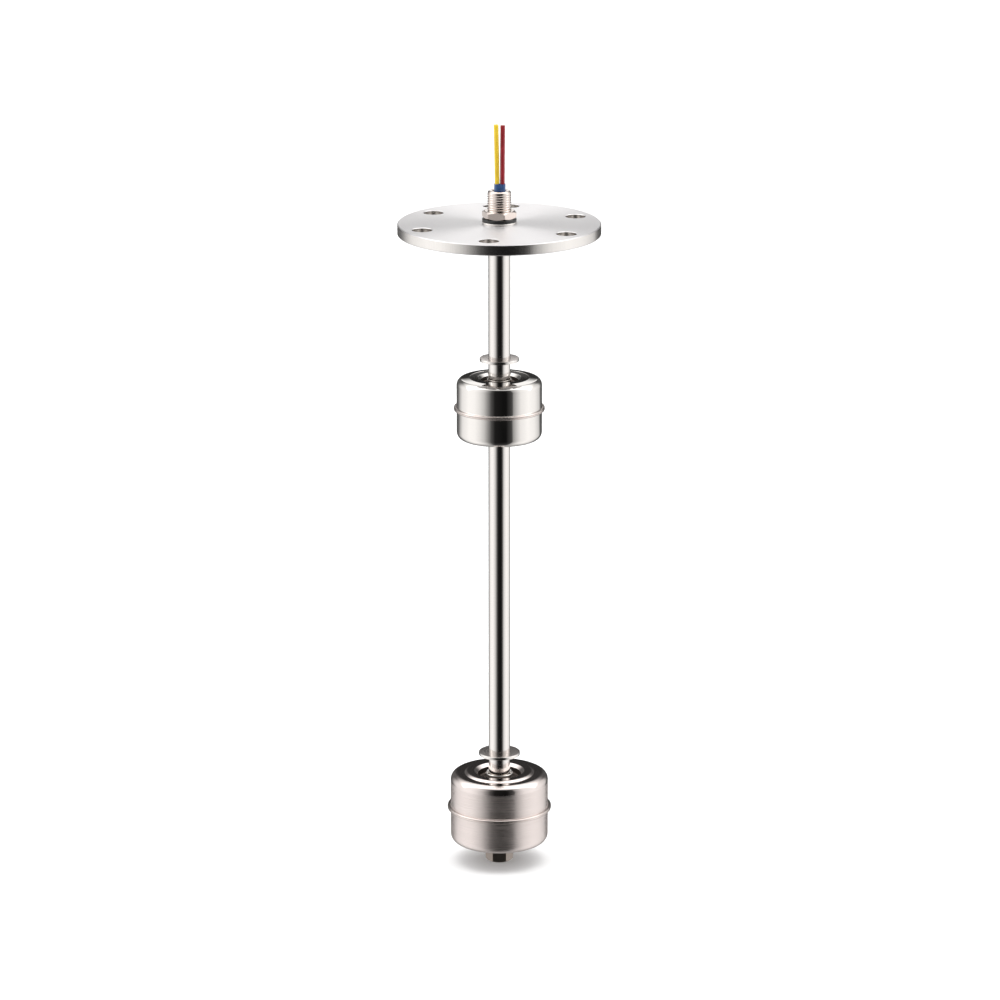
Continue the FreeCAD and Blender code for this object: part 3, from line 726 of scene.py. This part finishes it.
thread_low, thread_high = NUT_TOP - 0.4, HEAD_TOP - CHAMFER_H
row_count = round((thread_high - thread_low) / THREAD_PITCH * ROWS_PER_PITCH)
wall = [(THREAD_R, thread_low + (thread_high - thread_low) * i / row_count) for i in range(row_count + 1)]
crown = arc((THREAD_R - CHAMFER_R - 0.55, thread_high), CHAMFER_R + 0.55, 0, 90, 20)
crown = [(r, thread_high + (z - thread_high) * CHAMFER_H / (CHAMFER_R + 0.55)) for r, z in crown[1:]]
nipple = spin("threaded_nipple", [
    (HEAD_BORE_R, SPOT_DEPTH), (SHANK_R, SPOT_DEPTH), (SHANK_R, thread_low), *wall, *crown,
    (HEAD_BORE_R + HEAD_BORE_EDGE, HEAD_TOP), (HEAD_BORE_R, HEAD_TOP - HEAD_BORE_EDGE),
], even_turns(144))
run_tree(
    nipple, thread, pitch=THREAD_PITCH * MM, major_radius=THREAD_R * MM, depth=THREAD_DEPTH * MM,
    start_height=(thread_low + 0.1) * MM, finish=machined_bar_stainless,
)
settle(nipple, machined_bar_stainless, "stem_assembly", "machined_stainless", "threaded_head")
print("thread turns:", round((HEAD_TOP - NUT_TOP) / THREAD_PITCH, 1), "faces:", len(nipple.data.polygons))

# %% [markdown]
# ## Hexagons
# The nut, the shoulder under the flange and the end plug are cut from
# hexagonal bar. Their corners are rounded off by a turned chamfer, so the
# height of a face's edge depends on how far that point of the hexagon is from
# the axis. Points are crowded at the corners to keep their rounding smooth.

# %% Hexagons
FACE_SHARE = 0.96
CHAMFER_SLOPE = math.tan(math.radians(30))


def hex_radius(turn, flats, corner_r, corner_deg):
    """Distance from the axis to the side of a hexagon with rounded corners."""
    off = (math.degrees(turn) - corner_deg + 30) % 60 - 30
    off = math.radians(off)
    centre = (flats / 2 - corner_r) / math.cos(math.radians(30))
    if abs(off) < math.atan2(corner_r / 2, centre + corner_r * math.cos(math.radians(30))):
        return centre * math.cos(off) + math.sqrt(corner_r**2 - (centre * math.sin(off)) ** 2)
    return flats / 2 / math.cos(math.radians(30) - abs(off))


def hex_turns(flats, corner_r, corner_deg):
    """Angles for a hexagon: even along the flats and crowded at the corners."""
    centre = (flats / 2 - corner_r) / math.cos(math.radians(30))
    edge = math.degrees(math.atan2(corner_r / 2, centre + corner_r * math.cos(math.radians(30))))
    near = [edge * i / 4 for i in range(-4, 5)]
    along = [edge + (60 - 2 * edge) * i / 14 for i in range(1, 14)]
    return [math.radians(corner_deg + 60 * k + a) for k in range(6) for a in near + along]


def hex_piece(name, flats, corner_r, corner_deg, low, high, inner_r, bevel_low, bevel_high):
    """A hexagonal piece with a hole, or with none where inner_r is 0."""
    face_r = flats / 2 * FACE_SHARE

    def outline(turn):
        side = hex_radius(turn, flats, corner_r, corner_deg)
        drop = max(0.0, side - face_r) * CHAMFER_SLOPE
        low_drop, high_drop = drop * bevel_low, drop * bevel_high
        edge = 0.25 if inner_r else 0.0
        return [
            (inner_r + edge, low), (face_r, low), (side, low + low_drop), (side, high - high_drop), (face_r, high),
            (inner_r + edge, high), (inner_r, high - edge), (inner_r, low + edge),
        ]

    return spin(name, outline, hex_turns(flats, corner_r, corner_deg))


NUT_LOW = span("head_jam_nut")[1]
nut = hex_piece("jam_nut", 17.46, 0.35, -11.5, NUT_LOW, NUT_TOP, SHANK_R + 0.12, 1, 1)
settle(nut, machined_bar_stainless, "stem_assembly", "machined_stainless", "head_jam_nut")
shoulder = hex_piece("head_shoulder", 19.05, 0.35, 0.0, SPOT_DEPTH - 6.0, SPOT_DEPTH, SHANK_R, 1, 0)
settle(shoulder, machined_bar_stainless, "stem_assembly", "machined_stainless")
boss = spin("stem_socket", [
    (SOCKET_R, SOCKET_LOW), (BOSS_R - 0.3, SOCKET_LOW), (BOSS_R, SOCKET_LOW + 0.3), (BOSS_R, SOCKET_LOW + 3.1),
    (HEAD_BORE_R, SOCKET_LOW + 3.1 + 3.0), (HEAD_BORE_R, SOCKET_TOP), (SOCKET_R, SOCKET_TOP),
])
settle(boss, machined_bar_stainless, "stem_assembly", "machined_stainless")

PLUG_TOP = STEM_LOW
plug = hex_piece("hex_end_plug", 14.3, 0.6, 0.0, PLUG_LOW, PLUG_TOP, 0.0, 1, 0)
# The end plug's steel is darkened as painted shade.
settle(plug, drawn_bar_stainless, "stem_assembly", "machined_stainless", "end_hex_plug")
print("hexagons:", [o.name for o in (nut, shoulder, plug)])

# %% [markdown]
# ## Washers, sleeve and cut wire ends
# A flat steel washer and a moulded rubber one sit under the nut. A blue sleeve
# is shrunk over both wires where they leave the head; its skin follows an
# oblong that pinches between the wires. The cut wire ends show a bundle of
# copper strands, packed in the same spiral that sunflower seeds follow, which
# is the simplest rule that fills a circle evenly.

# %% Washers
r, low, high = span("head_flat_washer")
bore = FLANGE_BORE_R
washer = spin("flat_washer", [(bore, low), *arc((r - 0.15, low + 0.15), 0.15, -90, 0, 3),
                              *arc((r - 0.3, high - 0.3), 0.3, 0, 90, 4), (bore, high)])
settle(washer, bright_rolled_stainless, "stem_assembly", "bright_stainless", "head_flat_washer")
r, low, high = span("head_seal_washer")
half = (high - low) / 2
seal = spin("rubber_seal", [(bore, low), *arc((r - 0.6, low + 0.6), 0.6, -90, 0, 6),
                            *arc((r - 0.6, high - 0.6), 0.6, 0, 90, 6), (bore, high)])
settle(seal, nitrile_rubber, "stem_assembly", "black_rubber", "head_seal_washer")

# %% Sleeve
SLEEVE_R, SLEEVE_WALL = 1.825, 0.4
WIRE_HALF_SPACING = 1.45
SLEEVE_X = 0.3


def oblong_radius(turn, r):
    """Distance from the middle to an oblong round both wires, pinched between them."""
    across, up = abs(math.cos(turn)), abs(math.sin(turn))
    straight = r / max(up, 1e-9)
    if straight * across <= WIRE_HALF_SPACING:
        pinch = 0.22 * math.cos(math.pi / 2 * straight * across / WIRE_HALF_SPACING) ** 2
        return straight - pinch
    return WIRE_HALF_SPACING * across + math.sqrt(r**2 - (WIRE_HALF_SPACING * up) ** 2)


def sleeve_outline(turn):
    _, low, high = span("wire_sleeve")
    outer, inner = oblong_radius(turn, SLEEVE_R), oblong_radius(turn, SLEEVE_R - SLEEVE_WALL)
    wavy = 0.18 * math.sin(3 * turn + 0.6)
    return [
        (inner, low), (outer, low), (outer, high - 1.2), (outer - 0.04, high - 0.5), (outer, high - 0.25 + wavy),
        ((outer + inner) / 2, high - 0.18 + wavy), (inner, high - 0.3 + wavy),
    ]


sleeve = spin("shrink_sleeve", sleeve_outline, even_turns(96), SLEEVE_X)
settle(sleeve, shrink_sleeve_blue, "stem_assembly", "blue_sleeve", "wire_sleeve")

# %% Copper strands
STRAND_COUNT = 19
STRAND_R = 0.13
STRAND_SPACING = 0.145
GOLDEN_TURN = math.pi * (3 - math.sqrt(5))
STRAND_LENGTH = 0.4

strands, strands_in = new_tree("pack_strands", [
    ("Strand", "NodeSocketObject"), ("Count", "NodeSocketInt"), ("Spacing", "NodeSocketFloat"),
    ("Finish", "NodeSocketMaterial"),
])
index = add_node(strands, "GeometryNodeInputIndex").outputs[0]
root_of_index = add_node(strands, "ShaderNodeMath", {0: index}, operation="SQRT").outputs[0]
out = add_node(
    strands, "ShaderNodeMath", {0: root_of_index, 1: strands_in["Spacing"]}, operation="MULTIPLY",
).outputs[0]
turn = add_node(strands, "ShaderNodeMath", {0: index, 1: GOLDEN_TURN}, operation="MULTIPLY").outputs[0]
sweep = add_node(strands, "ShaderNodeCombineXYZ", {"Z": turn}).outputs[0]
arm = add_node(strands, "ShaderNodeCombineXYZ", {"X": out}).outputs[0]
strand_at = add_node(
    strands, "ShaderNodeVectorRotate", {"Vector": arm, "Rotation": sweep}, rotation_type="EULER_XYZ",
).outputs[0]
centres = add_node(strands, "GeometryNodePoints", {"Count": strands_in["Count"], "Position": strand_at}).outputs[0]
one = add_node(strands, "GeometryNodeObjectInfo", {"Object": strands_in["Strand"]}).outputs["Geometry"]
many = add_node(strands, "GeometryNodeInstanceOnPoints", {"Points": centres, "Instance": one}).outputs[0]
whole = add_node(strands, "GeometryNodeRealizeInstances", {0: many}).outputs[0]
finished = add_node(strands, "GeometryNodeSetMaterial", {0: whole, "Material": strands_in["Finish"]}).outputs[0]
add_node(strands, "NodeGroupOutput", {0: finished})

strand = spin("one_strand", [
    (0, -STRAND_LENGTH), (STRAND_R, -STRAND_LENGTH), (STRAND_R, -0.03), (STRAND_R * 0.7, 0), (0, 0),
], even_turns(10))
for colour, wire in wires.items():
    before, end = [Vector(p) for p in WIRE_ROUTES[colour][-2:]]
    bundle = bpy.data.objects.new(f"copper_strands_{colour}", strand.data.copy())
    bpy.context.scene.collection.objects.link(bundle)
    run_tree(
        bundle, strands, strand=strand, count=STRAND_COUNT, spacing=STRAND_SPACING * MM, finish=copper_strand,
    )
    upright = (end - before).to_track_quat("Z", "Y").to_matrix().to_4x4()
    place = Matrix.Translation((end + (end - before).normalized() * 0.06) * MM) @ upright
    bundle.data.transform(place)
    settle(bundle, copper_strand, "stem_assembly", f"{colour}_pvc")
    settle(wire, WIRE_FINISH[colour], "stem_assembly", f"{colour}_pvc", f"lead_wire_{colour}")
    print(bundle.name, "faces:", len(bundle.data.polygons))
bpy.data.objects.remove(strand)

# %% [markdown]
# ## Pieces kept from the solid model
# What is inside the stem and the floats, and the resin in the head's bore,
# keep their solid shapes. Each takes the finish of its own material slot.

# %% Kept pieces
SLOT_FINISH = {
    "black_resin": epoxy_potting_resin, "yellow_pvc": pvc_insulation_yellow, "red_pvc": pvc_insulation_red,
    "grey_pvc": pvc_insulation_grey, "circuit_board": glass_epoxy_laminate, "switch_glass": reed_glass,
    "switch_blade": nickel_iron_blade, "ferrite": sintered_ferrite, "bright_stainless": bright_rolled_stainless,
}
kept = 0
for part in frame["record"]["subparts"]:
    node = frame["nodes"][part["node"]]
    if part["material_slot"] in SLOT_FINISH:
        node.data.materials.clear()
        node.data.materials.append(SLOT_FINISH[part["material_slot"]])
        kept += 1
print("kept pieces with a finish:", kept)

# %% [markdown]
# ## Light and floor
# Polished metal shows the room, so the room is the light. It is a white studio
# with two tall soft walls at the sides, a soft ceiling, and dark openings in
# front and behind. The dark front gives each round piece its black stripe, and
# the dark back draws a grey line along its edges. The room is painted by
# direction in the world's shader: a ramp round the horizon for the walls and
# one from floor to ceiling. The camera itself sees plain white. The floor
# stands under the end plug to catch a soft shadow, and it is hidden from
# reflections, because the walls reach below it.

# %% Studio
world = bpy.data.worlds.new("studio")
bpy.context.scene.world = world
world.use_nodes = True
room = world.node_tree
room.nodes.clear()
gaze = add_node(room, "ShaderNodeTexCoord").outputs["Generated"]
x, y, z = add_node(room, "ShaderNodeSeparateXYZ", {0: gaze}).outputs
front = add_node(room, "ShaderNodeMath", {0: y, 1: -1.0}, operation="MULTIPLY").outputs[0]
around = add_node(room, "ShaderNodeMath", {0: x, 1: front}, operation="ARCTAN2").outputs[0]
around = add_node(
    room, "ShaderNodeMath", {0: around, 1: 1 / math.tau, 2: 0.5}, operation="MULTIPLY_ADD",
).outputs[0]
rise = add_node(room, "ShaderNodeMath", {0: z}, operation="ARCSINE").outputs[0]
rise = add_node(room, "ShaderNodeMath", {0: rise, 1: 1 / math.pi, 2: 0.5}, operation="MULTIPLY_ADD").outputs[0]


def round_stops(pairs):
    """Ramp stops from (degrees from the front, brightness) pairs."""
    return [(0.5 + deg / 360, value) for deg, value in pairs]


def height_stops(pairs):
    """Ramp stops from (degrees above the horizon, brightness) pairs."""
    return [(0.5 + deg / 180, value) for deg, value in pairs]


WALL_LIGHT, CEILING_LIGHT = 1.74, 3.0
walls = add_node(room, "ShaderNodeValToRGB", {0: around})
set_ramp(walls, round_stops([
    (-180, 0.02), (-172, 0.04), (-163, 0.1), (-148, 0.1), (-138, 0.25), (-130, 0.5), (-118, 0.8), (-90, 1.0),
    (-70, 0.97), (-55, 0.8), (-42, 0.56), (-32, 0.29), (-22, 0.075), (-12, 0.012), (18, 0.004), (31, 0.045),
    (35.5, 0.08), (38, 0.3), (48, 0.56), (60, 0.84), (85, 1.0), (110, 0.9), (134, 0.6), (144, 0.15),
    (152, 0.07), (164, 0.08), (172, 0.04), (180, 0.02),
]))
wall_height = add_node(room, "ShaderNodeValToRGB", {0: rise})
set_ramp(wall_height, height_stops([
    (-90, 0.2), (-76, 0.4), (-64, 0.62), (-52, 0.95), (-45, 1.0), (35, 1.0), (50, 0.75), (68, 0.45),
]))
wall_light = add_node(
    room, "ShaderNodeMath", {0: walls.outputs[0], 1: wall_height.outputs[0]}, operation="MULTIPLY",
).outputs[0]
wall_light = add_node(room, "ShaderNodeMath", {0: wall_light, 1: WALL_LIGHT}, operation="MULTIPLY").outputs[0]
lean = add_node(room, "ShaderNodeMath", {0: front, 1: z}, operation="ARCTAN2").outputs[0]
lean = add_node(
    room, "ShaderNodeMath", {0: lean, 1: 1 / math.tau, 2: 0.5}, operation="MULTIPLY_ADD",
).outputs[0]
arch = add_node(room, "ShaderNodeValToRGB", {0: lean})
set_ramp(arch, round_stops([
    (-180, 0.12), (-160, 0.2), (-142, 0.23), (-128, 0.09), (-115, 0.023), (-82, 0.008), (-69, 0.011),
    (-59, 0.11), (-50, 0.32), (-38, 0.6), (-20, 1.0), (12, 1.0), (22, 0.5), (38, 0.018), (50, 0.0035),
    (110, 0.0035), (140, 0.012), (152, 0.018), (163, 0.046), (172, 0.09), (180, 0.12),
]))
arch_light = add_node(
    room, "ShaderNodeMath", {0: arch.outputs[0], 1: CEILING_LIGHT}, operation="MULTIPLY",
).outputs[0]
light = add_node(room, "ShaderNodeMath", {0: wall_light, 1: arch_light}, operation="MAXIMUM").outputs[0]
seen = add_node(room, "ShaderNodeBackground", {"Strength": light}).outputs[0]
backdrop = add_node(room, "ShaderNodeBackground", {"Strength": 1.4}).outputs[0]
to_camera = add_node(room, "ShaderNodeLightPath").outputs["Is Camera Ray"]
mixed = add_node(room, "ShaderNodeMixShader", {0: to_camera, 1: seen, 2: backdrop}).outputs[0]
add_node(room, "ShaderNodeOutputWorld", {"Surface": mixed})

# %% Floor
FLOOR_HALF = 4.0
floor_mesh = bpy.data.meshes.new("studio_floor")
corners = [(-1, -1), (1, -1), (1, 1), (-1, 1)]
floor_mesh.from_pydata([(a * FLOOR_HALF, b * FLOOR_HALF, PLUG_LOW * MM) for a, b in corners], [], [(0, 1, 2, 3)])
floor = bpy.data.objects.new("studio_floor", floor_mesh)
bpy.context.scene.collection.objects.link(floor)
white_paper, tree, shader, place = new_finish("white_paper")
shader.inputs["Base Color"].default_value = linear("#F4F4F4")
shader.inputs["Roughness"].default_value = 0.9
shader.inputs["Emission Color"].default_value = [1.0, 1.0, 1.0, 1.0]
shader.inputs["Emission Strength"].default_value = 0.1
floor_mesh.materials.append(white_paper)
floor.visible_glossy = False
bpy.context.scene.view_settings.view_transform = "Standard"

# %% Overhead light
SOFTBOX_SIZE, SOFTBOX_HEIGHT, SOFTBOX_WATTS = 1.6, 1.5, 12.0
softbox_data = bpy.data.lights.new("overhead_softbox", "AREA")
softbox_data.shape = "DISK"
softbox_data.size = SOFTBOX_SIZE
softbox_data.energy = SOFTBOX_WATTS
softbox = bpy.data.objects.new("overhead_softbox", softbox_data)
softbox.location = (0.0, 0.0, SOFTBOX_HEIGHT)
softbox.visible_glossy = False
softbox.visible_camera = False
bpy.context.scene.collection.objects.link(softbox)

# %% Back card
CARD_HALF_W, CARD_LOW, CARD_HIGH, CARD_BEHIND, CARD_LIGHT = 0.16, 0.06, 0.32, 0.6, 1.3
card_mesh = bpy.data.meshes.new("back_card")
card_mesh.from_pydata([
    (a * CARD_HALF_W, CARD_BEHIND, z) for a, z in ((1, CARD_LOW), (-1, CARD_LOW), (-1, CARD_HIGH), (1, CARD_HIGH))
], [], [(0, 1, 2, 3)])
card = bpy.data.objects.new("back_card", card_mesh)
bpy.context.scene.collection.objects.link(card)
lit_card, tree, shader, place = new_finish("lit_card")
across_card = add_node(tree, "ShaderNodeSeparateXYZ", {0: place}).outputs
fade = add_node(tree, "ShaderNodeMapRange", {
    "Value": across_card[2], "From Min": CARD_LOW, "From Max": CARD_LOW + 0.09, "To Min": 0.0, "To Max": CARD_LIGHT,
}, interpolation_type="SMOOTHSTEP").outputs[0]
shader.inputs["Base Color"].default_value = [0.0, 0.0, 0.0, 1.0]
shader.inputs["Emission Color"].default_value = [1.0, 1.0, 1.0, 1.0]
tree.links.new(fade, shader.inputs["Emission Strength"])
card_mesh.materials.append(lit_card)
card.visible_camera = False
card.visible_diffuse = False
card.visible_shadow = False
